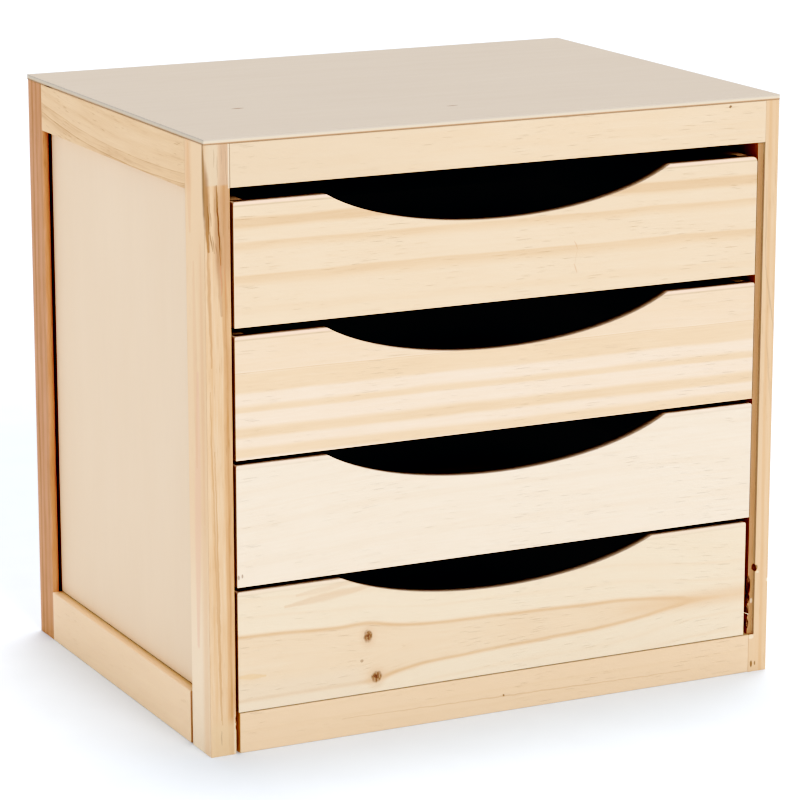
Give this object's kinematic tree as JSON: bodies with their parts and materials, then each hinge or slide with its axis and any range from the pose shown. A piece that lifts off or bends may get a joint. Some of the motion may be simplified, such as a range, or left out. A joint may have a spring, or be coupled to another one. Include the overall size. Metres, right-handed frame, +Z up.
{
  "type": "desktop mini drawers",
  "caption": "Small free-standing cabinet of pale unfinished pine with plywood panels and full-width drawers that are pulled by curved finger scoops.",
  "frame": {"origin": "middle of the footprint, on the surface that the cabinet stands on", "axes": "+X to the right across the front, +Y from the front to the back, +Z up"},
  "size_m": [0.26, 0.192, 0.25],
  "materials": {
    "pine_frame": "matte",
    "pine_drawer": "matte",
    "plywood": "matte",
    "steel": "satin"
  },
  "bodies": {
    "cabinet": {"front_left_post": "pine_frame", "front_right_post": "pine_frame", "back_left_post": "pine_frame", "back_right_post": "pine_frame", "left_top_rail": "pine_frame", "left_bottom_rail": "pine_frame", "right_top_rail": "pine_frame", "right_bottom_rail": "pine_frame", "front_top_rail": "pine_frame", "front_bottom_rail": "pine_frame", "back_top_rail": "pine_frame", "back_bottom_rail": "pine_frame", "left_panel": "plywood", "right_panel": "plywood", "back_panel": "plywood", "base_panel": "plywood", "top_panel": "plywood", "frame_dowels": "pine_frame", "left_runner_1": "pine_frame", "left_runner_2": "pine_frame", "left_runner_3": "pine_frame", "left_runner_4": "pine_frame", "right_runner_1": "pine_frame", "right_runner_2": "pine_frame", "right_runner_3": "pine_frame", "right_runner_4": "pine_frame"},
    "drawer_1": {"drawer_1_front": "pine_drawer", "drawer_1_left_side": "pine_drawer", "drawer_1_right_side": "pine_drawer", "drawer_1_back": "pine_drawer", "drawer_1_bottom": "plywood", "drawer_1_brads": "steel"},
    "drawer_2": {"drawer_2_front": "pine_drawer", "drawer_2_left_side": "pine_drawer", "drawer_2_right_side": "pine_drawer", "drawer_2_back": "pine_drawer", "drawer_2_bottom": "plywood", "drawer_2_brads": "steel"},
    "drawer_3": {"drawer_3_front": "pine_drawer", "drawer_3_left_side": "pine_drawer", "drawer_3_right_side": "pine_drawer", "drawer_3_back": "pine_drawer", "drawer_3_bottom": "plywood", "drawer_3_brads": "steel"},
    "drawer_4": {"drawer_4_front": "pine_drawer", "drawer_4_left_side": "pine_drawer", "drawer_4_right_side": "pine_drawer", "drawer_4_back": "pine_drawer", "drawer_4_bottom": "plywood", "drawer_4_brads": "steel"}
  },
  "joints": [
    {"name": "drawer_1_slide", "type": "slide", "parent": "cabinet", "child": "drawer_1", "axis": [0, -1, 0], "range_m": [0, 0.14]},
    {"name": "drawer_2_slide", "type": "slide", "parent": "cabinet", "child": "drawer_2", "axis": [0, -1, 0], "range_m": [0, 0.14]},
    {"name": "drawer_3_slide", "type": "slide", "parent": "cabinet", "child": "drawer_3", "axis": [0, -1, 0], "range_m": [0, 0.14]},
    {"name": "drawer_4_slide", "type": "slide", "parent": "cabinet", "child": "drawer_4", "axis": [0, -1, 0], "range_m": [0, 0.14]}
  ]
}
